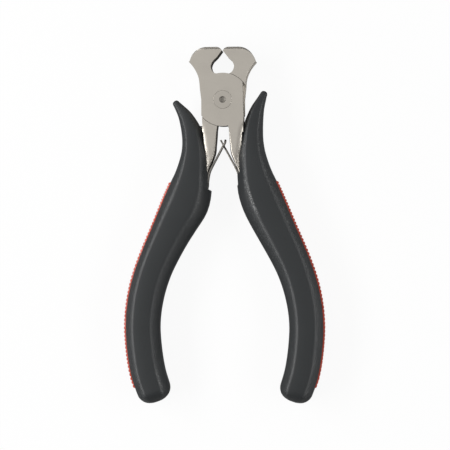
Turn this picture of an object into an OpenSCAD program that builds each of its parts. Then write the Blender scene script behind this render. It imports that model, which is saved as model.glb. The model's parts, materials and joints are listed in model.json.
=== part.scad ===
// End cutting nippers: two lap-jointed levers on a flush rivet, a pair of crossed leaf
// springs and two-component grips with a pinch guard. The tool lies flat, jaws towards +Y,
// with the middle of its footprint at the origin. Millimetres.

/* [Head] */
// Distance from the pivot to the flat top of the jaws
jaw_reach = 16.8; // [15:0.1:19]
// Distance from the centre line to the outer corner of a jaw
jaw_half_w = 10.7; // [10:0.1:12]
// Thickness of the jaws and of the closed lap joint
head_t = 8; // [6:0.1:10]
// Radius of the round lobe of each half of the lap joint
lobe_r = 8.5; // [8:0.1:9]
// Width of the chamfer along the top of the jaws
jaw_chamfer = 0.75; // [0.3:0.05:1.2]
// Gap between the two cutting edges when the springs are relaxed
edge_gap = 0.3; // [0.25:0.01:0.6]
// Gap between the two halves of the lap joint, flat on flat and round the lobes
lap_gap = 0.12; // [0.08:0.01:0.2]

/* [Pivot rivet] */
// Radius of the rivet's shank
rivet_r = 2.2; // [1.5:0.1:3]
// Radius of the countersunk rivet heads
rivet_head_r = 2.9; // [2.4:0.1:4]
// Depth of the countersunk heads
rivet_head_t = 0.9; // [0.5:0.1:1.4]
// Running clearance round the shank in the rear lever
rivet_clear = 0.05; // [0.02:0.01:0.1]

/* [Tangs] */
// Thickness of the tangs, front to back
tang_t = 7.2; // [5:0.1:7.6]
// Width of a tang inside its grip
tang_w = 4.6; // [3.6:0.1:5.2]
// Radius of the long edges of the tangs
tang_round = 0.8; // [0.3:0.1:1.4]

/* [Springs] */
// Thickness of the spring strip
strip_t = 0.45; // [0.35:0.05:0.6]
// Width of the spring strip
strip_w = 4.6; // [4:0.1:5]
// Length of the slot below the place where the leaves cross
slot_below = 0.95; // [0.8:0.05:1.3]
// Length of the slot above the place where the leaves cross
slot_above = 1.45; // [1.3:0.05:1.8]
// Height of the land that closes the slot at the tip of its leaf
slot_land = 0.5; // [0.4:0.05:0.9]
// Length of the narrow tongue below the place where the leaves cross
tongue_below = 0.9; // [0.7:0.05:1.3]
// Length of the tongue above the place where the leaves cross
tongue_above = 1.35; // [1.2:0.05:1.8]
// Height of the T head that ends the tongue
tee_h = 0.5; // [0.4:0.05:0.7]
// Width of the tongue that passes through the slot
tongue_w = 1.6; // [1.2:0.1:2]
// Clearance on each side of the tongue in the slot
tongue_clear = 0.4; // [0.3:0.05:0.5]
// Length of the foot along the tang
foot_l = 11; // [9:0.5:12]
// Radius of the small rivets through the feet
foot_rivet_r = 0.8; // [0.5:0.05:1]

/* [Grips] */
// Distance from the pivot to the lower end of the grips
handle_reach = 97.2; // [90:0.2:105]
// Distance from the centre line to the middle of a grip where it bows out furthest
handle_bow = 26.4; // [24:0.2:29]
// Width of a grip along its lower half
grip_w = 11.2; // [10:0.1:12.4]
// Thickness of a grip, front to back
grip_h = 12.4; // [11.6:0.1:14]
// How much thinner than its crown the grip is made by its flat front and back
grip_flat = 0.8; // [0.4:0.1:1.6]
// How far the left pinch guard leans outwards at its tip
left_guard_lean = 2.2; // [0:0.1:5]
// How much shorter the left pinch guard is than the right one
left_guard_drop = 3; // [0:0.1:4]
// How much fuller the left cover is on its inner side, under the lip
left_swell = 1; // [0:0.1:2]
// Width of the hard core inside the cover
core_w = 7.4; // [7:0.1:8]
// Thickness of the hard core inside the cover
core_h = 8.6; // [8.4:0.1:9]
// Width of the ribbed spine that shows on the outside of the grip
spine_w = 4.4; // [3:0.1:6]
// How far the spine stands proud of the cover
spine_proud = 0.3; // [0.1:0.05:0.5]
// Pitch of the ribs along the spine
rib_pitch = 1.15; // [0.9:0.05:2]
// Depth of the grooves between the ribs
rib_depth = 0.35; // [0.1:0.05:0.5]

/* [Hidden] */
steel = [0.70, 0.68, 0.64];
spring_steel = [0.45, 0.43, 0.40];
cover_grey = [0.23, 0.24, 0.25];
core_red = [0.75, 0.22, 0.14];
// Overrun of cuts through a face
over = 1;
// Fit between pieces that are fixed to each other
seat = 0.05;
half_t = head_t / 2;
// Distance from the centre line to the flank of the lap joint
joint_half_w = 0.8 * lobe_r;

// Points at which a curve through the control points p is drawn, steps per span
function curve_at(a, b, c, d, t) =
    0.5 * (2 * b + (c - a) * t + (2 * a - 5 * b + 4 * c - d) * t * t
           + (3 * b - a - 3 * c + d) * t * t * t);
function curve(p, steps) = let (n = len(p) - 1)
    [for (i = [0 : n - 1], k = [0 : steps - 1])
        curve_at(p[max(i - 1, 0)], p[i], p[i + 1], p[min(i + 2, n)], k / steps),
     p[n]];
function arc(c, r, a0, a1, n) = [for (k = [0 : n]) let (a = a0 + (a1 - a0) * k / n)
    c + r * [cos(a), sin(a)]];

// Outline of the left jaw, as shares of the jaw's half width and of its reach
jaw_size = [jaw_half_w, jaw_reach];
function jaw_pt(s) = [s[0] * jaw_size[0], s[1] * jaw_size[1]];
edge_share = 0.929;
mouth_shares = [[-0.09, 0.865], [-0.17, 0.80], [-0.285, 0.728], [-0.342, 0.655],
                [-0.342, 0.60], [-0.313, 0.553], [-0.25, 0.508], [-0.14, 0.485]];
cheek_shares = [[-0.675, 0.21], [-0.695, 0.36], [-0.735, 0.46], [-0.80, 0.55],
                [-0.89, 0.638], [-1.0, 0.72]];
// Round outer corner of the jaw
corner_r = 0.515 * jaw_half_w;
corner_c = [corner_r - jaw_half_w + 0.02 * jaw_half_w, jaw_reach - corner_r];
edge_tip = [-edge_gap / 2, edge_share * jaw_reach];
top_end = [-0.155 * jaw_half_w, jaw_reach];
tip_round = [-0.07 * jaw_half_w, 0.975 * jaw_reach];
jaw_outline = concat(
    curve(concat([edge_tip], [for (s = mouth_shares) jaw_pt(s)]), 5),
    [[0, 0], [-joint_half_w, 0]],
    curve([for (s = cheek_shares) jaw_pt(s)], 5),
    arc(corner_c, corner_r, 168, 90, 20),
    curve([top_end, tip_round, edge_tip], 4));

// Root block where the right tang leaves the lap joint
root_end = -1.22 * lobe_r;
root_in_top = 0.21 * lobe_r;
root_in_end = 0.245 * lobe_r;
root_outline = [[0, 0], [root_in_top / 2, -lobe_r / 2], [root_in_top, -lobe_r],
                [root_in_end, root_end], [0.955 * joint_half_w, root_end],
                [0.97 * joint_half_w, -0.6 * lobe_r], [0.95 * joint_half_w, 0]];

// Bend of the right spring, the place where its leaf meets its foot
bend = [0.542 * lobe_r, -2.73 * lobe_r];
leaf_angle = 28;
foot_angle = 8.2;

// Centre line of a grip: x as a share of the bow, y as a share of the reach, width as a
// share of the grip's width, thickness as a share of the grip's thickness
grip_shares = [[0.492, 0.017, 0.20, 0.24], [0.455, -0.006, 0.28, 0.34],
               [0.410, -0.036, 0.40, 0.46], [0.366, -0.085, 0.55, 0.63],
               [0.345, -0.134, 0.66, 0.80], [0.341, -0.186, 0.83, 0.93],
               [0.368, -0.237, 0.98, 1.00], [0.413, -0.289, 1.16, 1.00],
               [0.481, -0.340, 1.22, 1.00], [0.568, -0.391, 1.19, 1.00],
               [0.659, -0.442, 1.13, 1.00], [0.754, -0.494, 1.08, 1.00],
               [0.841, -0.546, 1.04, 1.00], [0.909, -0.597, 1.025, 0.99],
               [0.958, -0.648, 1.015, 0.98], [0.989, -0.700, 1.005, 0.98],
               [1.000, -0.752, 1.00, 0.98], [0.990, -0.804, 1.00, 0.98],
               [0.968, -0.856, 1.00, 0.98], [0.932, -0.907, 0.995, 0.98],
               [0.876, -0.953, 0.97, 0.97]];
// The top of a grip keeps its place and its width at the head. Below the hold it spreads to
// its bow and reach, and it has its own width from there.
head_bow = 3.106 * lobe_r;
head_reach = 11.435 * lobe_r;
head_grip_w = 1.3177 * lobe_r;
hold = [0.515, -0.36];
guard_foot = -0.225;
function grip_x(x, y) = y > hold[1] ? x * head_bow
    : hold[0] * head_bow + (x - hold[0]) * (handle_bow - hold[0] * head_bow) / (1 - hold[0]);
function grip_y(y) = y > hold[1] ? y * head_reach
    : hold[1] * head_reach + (y - hold[1]) * (handle_reach + hold[1] * head_reach) / (1 + hold[1]);
function lower(y) = max(0, min(1, (y - guard_foot) / (hold[1] - guard_foot)));
function grip_width(w, y) = w * (head_grip_w + (grip_w - head_grip_w) * lower(y));
// Rise of the guard, 0 at its foot and 1 near its tip
guard_y = grip_y(guard_foot);
guard_l = 0.25 * head_reach;
lean_power = 1.6;
function guard_rise(y) = max(0, (y - guard_y) / guard_l);
// Swelling under the lip, 1 at its fullest
swell_y = grip_y(-0.335);
swell_half = 0.06 * head_reach;
function fullness(y) = exp(-pow((y - swell_y) / swell_half, 2));
function station(s, lean, drop, swell) =
    let (x = grip_x(s[0], s[1]), y = grip_y(s[1]), u = guard_rise(y), more = swell * fullness(y))
    [x + lean * pow(u, lean_power) - more / 2, y - drop * u * u, grip_width(s[2], s[1]) + more,
     s[3] * grip_h];
function grip_path(lean, drop, swell) =
    curve([for (s = grip_shares) station(s, lean, drop, swell)], 2);

function at(p) = [p[0], p[1]];
function unit(v) = v / norm(v);
function heading(path, i) = unit(at(path[min(i + 1, len(path) - 1)]) - at(path[max(i - 1, 0)]));
// Points beside a path, off to its outer side
function beside(path, i, off) = let (h = heading(path, i)) at(path[i]) + off * [-h[1], h[0]];

// Section of a cover, n points (across, up) of a rounded oblong of exponent e, and section
// of a tang, a bar with round edges of radius r
function pow_s(v, e) = sign(v) * pow(abs(v), e);
function oblong(w, h, n, e) = [for (k = [0 : n - 1]) let (a = 360 * (k + 0.5) / n)
    [pow_s(cos(a), 2 / e) * w / 2, pow_s(sin(a), 2 / e) * h / 2]];
function bar(w, h, n, r) = [for (q = [0 : 3], k = [0 : n / 4 - 1])
    let (a = 90 * q + 90 * k / (n / 4 - 1), corner = 90 * q + 45)
    [sign(cos(corner)) * (w / 2 - r) + r * cos(a), sign(sin(corner)) * (h / 2 - r) + r * sin(a)]];
// Ring of a lofted body round one station of a path, which has a fifth number, its edge
// radius, where it is a bar
function ring(path, i, n, e, grow) =
    let (h = heading(path, i), side = [-h[1], h[0]], s = path[i],
         section = len(s) > 4 ? bar(s[2] + 2 * grow, s[3] + 2 * grow, n, s[4] + grow)
                              : oblong(s[2] + 2 * grow, s[3] + 2 * grow, n, e))
    [for (q = section) let (p = at(s) + side * q[0]) [p[0], p[1], q[1]]];
// Stations of a round end of length l, pushed on from station s along dir. It stops short of
// its pole by a part of a step, and is a little blunter than a ball.
pole_gap = 0.4;
blunt_power = 0.8;
tip_steps = 3;
end_steps = 4;
function dome(s, dir, l, n) = [for (k = [1 : n])
    let (a = 90 * k / (n + pole_gap), q = at(s) + dir * l * sin(a), w = pow(cos(a), blunt_power))
    [q[0], q[1], s[2] * w, s[3] * w]];
function backwards(p) = [for (i = [len(p) - 1 : -1 : 0]) p[i]];
guard_tip_l = 0.1 * grip_w;
grip_end_l = 0.4 * grip_w;
function cover_path(lean, drop, swell) =
    let (p = grip_path(lean, drop, swell), last = len(p) - 1)
    concat(backwards(dome(p[0], -heading(p, 0), guard_tip_l, tip_steps)), p,
           dome(p[last], heading(p, last), grip_end_l, end_steps));
right_path = cover_path(0, 0, 0);
// Number of faces round a tang and a cover, and how square the cover's section is
tang_sides = 20;
cover_sides = 24;
cover_square = 2.6;
// Height of the pivot over the flat backs of the grips
rest_z = (grip_h - grip_flat) / 2;

module loft(path, n, e = 2, grow = 0) {
    m = len(path);
    points = [for (i = [0 : m - 1], p = ring(path, i, n, e, grow)) p];
    walls = [for (i = [0 : m - 2], k = [0 : n - 1], f = [0, 1])
        let (a = i * n + k, b = i * n + (k + 1) % n)
        f == 0 ? [a, b + n, b] : [a, a + n, b + n]];
    near_end = [for (k = [1 : n - 2]) [0, k, k + 1]];
    far_end = [for (k = [1 : n - 2]) [(m - 1) * n, (m - 1) * n + k + 1, (m - 1) * n + k]];
    polyhedron(points, concat(walls, near_end, far_end));
}

// Centre line of a tang: x and y as shares of the lobe's radius where it leaves the joint,
// with its width as a share of root_w, then as the grip has them, with its width as a share
// of tang_w. At the joint it is as thick as the head, and its edges grow round from there.
root_w = 0.541 * lobe_r;
round_from = 4;
tang_root_shares = [[0.480, -0.88, 0.97], [0.494, -1.41, 0.92], [0.506, -1.76, 0.85],
                    [0.530, -2.02, 0.84], [0.655, -2.39, 0.72], [0.760, -2.66, 0.76],
                    [0.850, -3.06, 0.90]];
root_thin = (head_t - tang_t) / (len(tang_root_shares) - 1);
tang_grip_shares = [[0.306, -0.309, 1.05], [0.350, -0.349, 1.05], [0.447, -0.396, 1.0],
                    [0.564, -0.448, 1.0], [0.760, -0.525, 1.0], [0.893, -0.603, 1.0],
                    [0.962, -0.680, 1.0], [0.990, -0.742, 0.95], [0.990, -0.800, 0.85]];
tang_path = curve(concat(
    [for (i = [0 : len(tang_root_shares) - 1]) let (s = tang_root_shares[i])
        [s[0] * lobe_r, s[1] * lobe_r, s[2] * root_w, head_t - i * root_thin,
         tang_round * min(1, (i + 1) / round_from)]],
    [for (s = tang_grip_shares)
        [grip_x(s[0], s[1]), grip_y(s[1]), s[2] * tang_w, tang_t, tang_round]]), 2);

// Frame of the foot: x square to the strip and outwards, y back up to the bend
module at_foot() {
    translate([bend[0], bend[1], 0]) rotate([0, 0, foot_angle]) children();
}
module at_leaf() {
    translate([bend[0], bend[1], 0]) rotate([0, 0, leaf_angle]) children();
}
// A flat strip cut to a profile of (width, length) points, standing on edge
module strip(profile) {
    translate([strip_t / 2, 0, 0]) rotate([0, -90, 0]) linear_extrude(strip_t) polygon(profile);
}
foot_rivet_at = -0.66 * foot_l;
foot_rivet_depth = 0.45 * tang_w;
foot_head_t = 0.6 * strip_t;
foot_head_r = 1.5 * foot_rivet_r;
module foot_rivet_shape(grow) {
    at_foot() translate([-strip_t / 2, foot_rivet_at, 0]) rotate([0, 90, 0]) {
        cylinder(h = foot_rivet_depth + grow, r = foot_rivet_r + grow, $fn = 32);
        translate([0, 0, -foot_head_t - grow])
            cylinder(h = foot_head_t + grow, r = foot_head_r + grow, $fn = 32);
    }
}

// The lobe of the joint half ends just inside the flank of the root block
lobe_plate_w = 1.945 * joint_half_w;
module lobe_plate() {
    intersection() {
        circle(lobe_r, $fn = 180);
        translate([-joint_half_w, -lobe_r]) square([lobe_plate_w, 2 * lobe_r]);
    }
}
module rivet_hole(clear) {
    cylinder(h = head_t + 2 * over, r = rivet_r + clear, center = true, $fn = 64);
    translate([0, 0, half_t - rivet_head_t])
        cylinder(h = rivet_head_t, r1 = rivet_r + clear, r2 = rivet_head_r + clear, $fn = 64);
}
// The round part of the chamfer is centred off the corner, so that it runs out round it
chamfer_end = corner_c[0] - 1.1 * jaw_chamfer;
chamfer_sweep = 66;
chamfer_cut = jaw_chamfer * sqrt(2);
module jaw_chamfers() {
    for (face = [0, 1]) mirror([0, 0, face]) {
        translate([chamfer_end, jaw_reach, half_t]) rotate([45, 0, 0])
            translate([0, -chamfer_cut / 2, -chamfer_cut / 2])
                cube([-chamfer_end, chamfer_cut, chamfer_cut]);
        translate([chamfer_end, corner_c[1], 0]) rotate([0, 0, 90])
            rotate_extrude(angle = chamfer_sweep, $fn = 180)
            polygon([[corner_r - jaw_chamfer - over, half_t + over],
                     [corner_r + over, half_t + over],
                     [corner_r + over, half_t - jaw_chamfer - over]]);
    }
}
// The forging with its joint half in front, its jaw on the left and its tang on the right
module lever(hole_clear) {
    difference() {
        union() {
            linear_extrude(head_t, center = true) {
                polygon(jaw_outline);
                polygon(root_outline);
            }
            linear_extrude(half_t) lobe_plate();
            loft(tang_path, tang_sides);
        }
        translate([0, 0, -half_t - over])
            cylinder(h = half_t + over + lap_gap / 2, r = lobe_r + lap_gap, $fn = 180);
        rivet_hole(hole_clear);
        jaw_chamfers();
        at_foot() translate([-tang_w, -foot_l - over, -head_t])
            cube([tang_w + strip_t / 2 + seat, foot_l + 2 * over, 2 * head_t]);
        foot_rivet_shape(seat);
    }
}
module front_lever() {
    color(steel) lever(seat);
}
module rear_lever() {
    color(steel) rotate([0, 180, 0]) lever(rivet_clear);
}

// Centre mark in both heads of the rivet
mark_t = rivet_head_t / 3;
module pivot_rivet() {
    color(steel) difference() {
        union() {
            cylinder(h = head_t, r = rivet_r, center = true, $fn = 64);
            for (face = [0, 1]) mirror([0, 0, face]) translate([0, 0, half_t - rivet_head_t])
                cylinder(h = rivet_head_t, r1 = rivet_r, r2 = rivet_head_r, $fn = 64);
        }
        for (face = [0, 1]) mirror([0, 0, face]) translate([0, 0, half_t - mark_t])
            cylinder(h = mark_t, r1 = rivet_r / 4, r2 = rivet_r / 2, $fn = 48);
    }
}

// Leaf springs
cross_l = bend[0] / sin(leaf_angle);
slot_half = tongue_w / 2 + tongue_clear;
slot_from = cross_l - slot_below;
slot_to = cross_l + slot_above;
slot_leaf_l = slot_to + slot_land;
tongue_from = cross_l - tongue_below;
head_from = cross_l + tongue_above;
tongue_leaf_l = head_from + tee_h;
head_half = tongue_w / 2 + 2 * tongue_clear;
nose = 0.18 * strip_w;
module spring_leaf(profile) {
    color(spring_steel) {
        strip(profile);
        cylinder(h = strip_w, r = strip_t / 2, center = true, $fn = 24);
    }
}
module slot_leaf() {
    difference() {
        spring_leaf([[-strip_w / 2, 0], [strip_w / 2, 0], [strip_w / 2, slot_leaf_l - nose],
                     [strip_w / 2 - nose, slot_leaf_l], [nose - strip_w / 2, slot_leaf_l],
                     [-strip_w / 2, slot_leaf_l - nose]]);
        translate([-strip_t, slot_from, -slot_half])
            cube([2 * strip_t, slot_to - slot_from, 2 * slot_half]);
    }
}
module tongue_leaf() {
    spring_leaf([[-strip_w / 2, 0], [strip_w / 2, 0], [strip_w / 2, tongue_from - nose],
                 [tongue_w / 2 + nose, tongue_from], [tongue_w / 2, tongue_from + nose],
                 [tongue_w / 2, head_from], [head_half, head_from], [head_half, tongue_leaf_l],
                 [-head_half, tongue_leaf_l], [-head_half, head_from], [-tongue_w / 2, head_from],
                 [-tongue_w / 2, tongue_from + nose], [-tongue_w / 2 - nose, tongue_from],
                 [-strip_w / 2, tongue_from - nose]]);
}
module foot() {
    color(spring_steel) difference() {
        at_foot() strip([[-strip_w / 2, -foot_l], [strip_w / 2, -foot_l],
                         [strip_w / 2, -strip_t / 2 - lap_gap], [-strip_w / 2, -strip_t / 2 - lap_gap]]);
        foot_rivet_shape(seat);
    }
}
module right_spring_leaf() {
    color(spring_steel) at_leaf() tongue_leaf();
}
module left_spring_leaf() {
    color(spring_steel) mirror([1, 0, 0]) at_leaf() slot_leaf();
}
module right_spring_foot() {
    foot();
}
module left_spring_foot() {
    mirror([1, 0, 0]) foot();
}
module right_spring_rivet() {
    color(steel) foot_rivet_shape(0);
}
module left_spring_rivet() {
    color(steel) mirror([1, 0, 0]) foot_rivet_shape(0);
}

// Grips. The core and its spine run along part of the path of the cover.
core_top = grip_y(-0.275);
core_low = grip_y(-0.945);
spine_top = grip_y(-0.287);
spine_low = grip_y(-0.943);
function span(path, hi, lo) = [for (p = path) if (p[1] < hi && p[1] > lo) p];
function run_length(p, i = 0, sum = 0, out = []) = i == len(p) ? out :
    let (s = i == 0 ? 0 : sum + norm(at(p[i]) - at(p[i - 1])))
    run_length(p, i + 1, s, concat(out, [s]));
// Outline of a band along a path, between two distances to its outer side
function band(path, inner, outer) = concat(
    [for (i = [0 : len(path) - 1]) beside(path, i, outer)],
    [for (i = [len(path) - 1 : -1 : 0]) beside(path, i, inner)]);
// The same, reaching past the cover by the distance out at its outer side
function outer_band(path, inner, out) = concat(
    [for (i = [0 : len(path) - 1]) beside(path, i, path[i][2] / 2 + out)],
    [for (i = [len(path) - 1 : -1 : 0]) beside(path, i, inner)]);
spine_inner = 0.3 * core_w;

// Outline of the spine with its ribs. A rib goes by shares of the pitch and of its height.
rib_shape = [[0, 0], [0.3, 1], [0.75, 1]];
function spine_outline(path) =
    let (s = run_length(path),
         last = len(path) - 1,
         ribs = floor(s[last] / rib_pitch),
         pitch = s[last] / ribs,
         xs = [for (i = [0 : last]) [s[i], beside(path, i, path[i][2] / 2)[0]]],
         ys = [for (i = [0 : last]) [s[i], beside(path, i, path[i][2] / 2)[1]]],
         nx = [for (i = [0 : last]) [s[i], -heading(path, i)[1]]],
         ny = [for (i = [0 : last]) [s[i], heading(path, i)[0]]])
    concat(
        [for (k = [0 : ribs - 1], q = rib_shape)
            let (t = (k + q[0]) * pitch, off = spine_proud - rib_depth * (1 - q[1]))
            [lookup(t, xs) + off * lookup(t, nx), lookup(t, ys) + off * lookup(t, ny)]],
        [beside(path, last, path[last][2] / 2 + spine_proud - rib_depth)],
        [for (i = [last : -1 : 0]) beside(path, i, spine_inner)]);

module grip_core(path) {
    body = span(path, core_top, core_low);
    spine = span(path, spine_top, spine_low);
    color(core_red) difference() {
        union() {
            linear_extrude(core_h, center = true) polygon(band(body, -core_w / 2, core_w / 2));
            linear_extrude(spine_w, center = true) polygon(spine_outline(spine));
        }
        loft(tang_path, tang_sides, grow = seat);
        at_foot() translate([-core_w, -foot_l - over, -head_t])
            cube([core_w + strip_t / 2 + seat, foot_l + 2 * over, 2 * head_t]);
    }
}

// Inner side of the cover above its lip, where the foot of the spring lies
relief = [[0, -1.9 * lobe_r], [0.53 * lobe_r, -2.18 * lobe_r], [0.575 * lobe_r, -2.7 * lobe_r],
          [0.645 * lobe_r, -3.335 * lobe_r], [0.5 * lobe_r, -3.42 * lobe_r],
          [0, -3.42 * lobe_r]];
module grip_cover(path) {
    body = span(path, core_top, core_low);
    spine = span(path, spine_top, spine_low);
    color(cover_grey) difference() {
        intersection() {
            loft(path, cover_sides, cover_square);
            translate([-handle_reach, -2 * handle_reach, -rest_z])
                cube([2 * handle_reach, 3 * handle_reach, 2 * rest_z]);
        }
        loft(tang_path, tang_sides, grow = seat);
        linear_extrude(core_h + 2 * seat, center = true)
            polygon(band(body, -core_w / 2 - seat, core_w / 2 + seat));
        linear_extrude(spine_w + 2 * seat, center = true)
            polygon(outer_band(spine, spine_inner, over));
        linear_extrude(2 * grip_h, center = true) polygon(relief);
        linear_extrude(head_t + 2 * seat, center = true) offset(delta = seat)
            polygon(root_outline);
        at_foot() translate([-strip_t / 2 - seat, -foot_l - seat, -strip_w / 2 - tongue_clear])
            cube([strip_t + 2 * seat, foot_l + over, strip_w + 2 * tongue_clear]);
        foot_rivet_shape(seat);
    }
}

module right_grip_core() {
    grip_core(grip_path(0, 0, 0));
}
module left_grip_core() {
    mirror([1, 0, 0]) grip_core(grip_path(left_guard_lean, left_guard_drop, left_swell));
}
module right_grip_cover() {
    grip_cover(cover_path(0, 0, 0));
}
module left_grip_cover() {
    mirror([1, 0, 0]) grip_cover(cover_path(left_guard_lean, left_guard_drop, left_swell));
}

// The origin is the middle of the tool's footprint, on the flat backs of the grips
low_y = min([for (i = [0 : len(right_path) - 1], p = ring(right_path, i, cover_sides, cover_square, 0))
    p[1]]);
module placed() {
    translate([0, -(jaw_reach + low_y) / 2, rest_z]) children();
}
placed() front_lever();
placed() rear_lever();
placed() pivot_rivet();
placed() left_spring_foot();
placed() left_spring_leaf();
placed() left_spring_rivet();
placed() right_spring_foot();
placed() right_spring_leaf();
placed() right_spring_rivet();
placed() left_grip_core();
placed() right_grip_core();
placed() left_grip_cover();
placed() right_grip_cover();
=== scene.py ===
"""End cutting nippers: steel head and springs, two-component grips, studio stage."""

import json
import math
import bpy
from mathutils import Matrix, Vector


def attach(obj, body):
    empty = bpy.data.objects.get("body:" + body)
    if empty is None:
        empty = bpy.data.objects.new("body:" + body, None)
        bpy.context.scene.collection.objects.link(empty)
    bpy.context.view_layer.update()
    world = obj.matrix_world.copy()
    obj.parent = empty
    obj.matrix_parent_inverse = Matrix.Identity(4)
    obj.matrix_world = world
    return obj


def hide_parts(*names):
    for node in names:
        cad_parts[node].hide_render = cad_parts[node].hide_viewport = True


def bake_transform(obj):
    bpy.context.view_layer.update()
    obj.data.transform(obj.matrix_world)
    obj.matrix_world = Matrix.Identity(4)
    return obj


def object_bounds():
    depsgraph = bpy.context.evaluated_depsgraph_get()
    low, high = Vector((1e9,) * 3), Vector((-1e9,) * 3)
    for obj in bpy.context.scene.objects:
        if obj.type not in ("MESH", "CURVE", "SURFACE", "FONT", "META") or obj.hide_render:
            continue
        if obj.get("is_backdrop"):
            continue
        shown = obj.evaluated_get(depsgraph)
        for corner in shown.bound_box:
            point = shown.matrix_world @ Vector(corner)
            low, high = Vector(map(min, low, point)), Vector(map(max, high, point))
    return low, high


bl_info = {
    "name": "End Cutting Nippers",
    "version": (1, 0, 0),
    "blender": (4, 5, 0),
    "location": "3D View > Sidebar > Nippers",
    "description": "Dresses the lap-jointed nippers: forgings, leaf springs and grips",
    "category": "Add Mesh",
}

import bpy
from bpy.props import FloatProperty, FloatVectorProperty, IntProperty, PointerProperty
from mathutils import Matrix, Vector

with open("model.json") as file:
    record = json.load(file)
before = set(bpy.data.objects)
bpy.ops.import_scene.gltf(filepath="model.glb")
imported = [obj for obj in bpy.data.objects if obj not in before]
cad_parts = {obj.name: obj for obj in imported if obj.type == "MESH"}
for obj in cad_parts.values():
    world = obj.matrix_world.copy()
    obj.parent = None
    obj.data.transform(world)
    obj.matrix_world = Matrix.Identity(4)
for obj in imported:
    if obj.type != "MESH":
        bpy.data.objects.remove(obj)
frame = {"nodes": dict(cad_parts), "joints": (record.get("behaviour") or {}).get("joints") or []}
CAD_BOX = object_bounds()
HINGE = Vector(frame["joints"][0]["pos_m"])
MM = 0.001


# Sizes and colours


class HeadSettings(bpy.types.PropertyGroup):
    edge_break: FloatProperty(
        name="Edge break", description="Width of the tumbled edges of the forgings",
        default=0.00016, min=0.0, max=0.0005, subtype="DISTANCE", unit="LENGTH", precision=5)
    steel: FloatVectorProperty(
        name="Steel", description="Colour of the satin ground steel",
        default=(0.50, 0.468, 0.418), size=3, min=0.0, max=1.0, subtype="COLOR")
    steel_roughness: FloatProperty(
        name="Steel roughness", description="Middle value of the roughness of the ground steel",
        default=0.36, min=0.0, max=1.0, subtype="FACTOR")


class SpringSettings(bpy.types.PropertyGroup):
    strip_thickness: FloatProperty(
        name="Strip thickness", description="Thickness of the spring strip",
        default=0.00045, min=0.0003, max=0.0006, subtype="DISTANCE", unit="LENGTH", precision=5)
    strip_width: FloatProperty(
        name="Strip width", description="Width of the spring strip, front to back of the tool",
        default=0.0046, min=0.004, max=0.005, subtype="DISTANCE", unit="LENGTH", precision=5)
    foot_length: FloatProperty(
        name="Foot length", description="Length of a spring along its tang",
        default=0.009, min=0.009, max=0.012, subtype="DISTANCE", unit="LENGTH")
    slot_below: FloatProperty(
        name="Slot below", description="Length of the slot below the crossing of the leaves",
        default=0.00095, min=0.0008, max=0.0013, subtype="DISTANCE", unit="LENGTH", precision=5)
    slot_above: FloatProperty(
        name="Slot above", description="Length of the slot above the crossing of the leaves",
        default=0.00145, min=0.0013, max=0.0018, subtype="DISTANCE", unit="LENGTH", precision=5)
    slot_land: FloatProperty(
        name="Slot land", description="Height of the land that closes the slot at its tip",
        default=0.0005, min=0.0004, max=0.0009, subtype="DISTANCE", unit="LENGTH", precision=5)
    tongue_below: FloatProperty(
        name="Tongue below", description="Length of the tongue below the crossing of the leaves",
        default=0.0009, min=0.0007, max=0.0013, subtype="DISTANCE", unit="LENGTH", precision=5)
    tongue_above: FloatProperty(
        name="Tongue above", description="Length of the tongue above the crossing of the leaves",
        default=0.00135, min=0.0012, max=0.0018, subtype="DISTANCE", unit="LENGTH", precision=5)
    tee: FloatProperty(
        name="T head", description="Height of the T head that ends the tongue",
        default=0.0005, min=0.0004, max=0.0007, subtype="DISTANCE", unit="LENGTH", precision=5)
    tongue_width: FloatProperty(
        name="Tongue width", description="Width of the tongue in the slot",
        default=0.0016, min=0.0012, max=0.002, subtype="DISTANCE", unit="LENGTH", precision=5)
    steel: FloatVectorProperty(
        name="Spring steel", description="Colour of the bright hardened strip",
        default=(0.27, 0.255, 0.232), size=3, min=0.0, max=1.0, subtype="COLOR")


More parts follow.
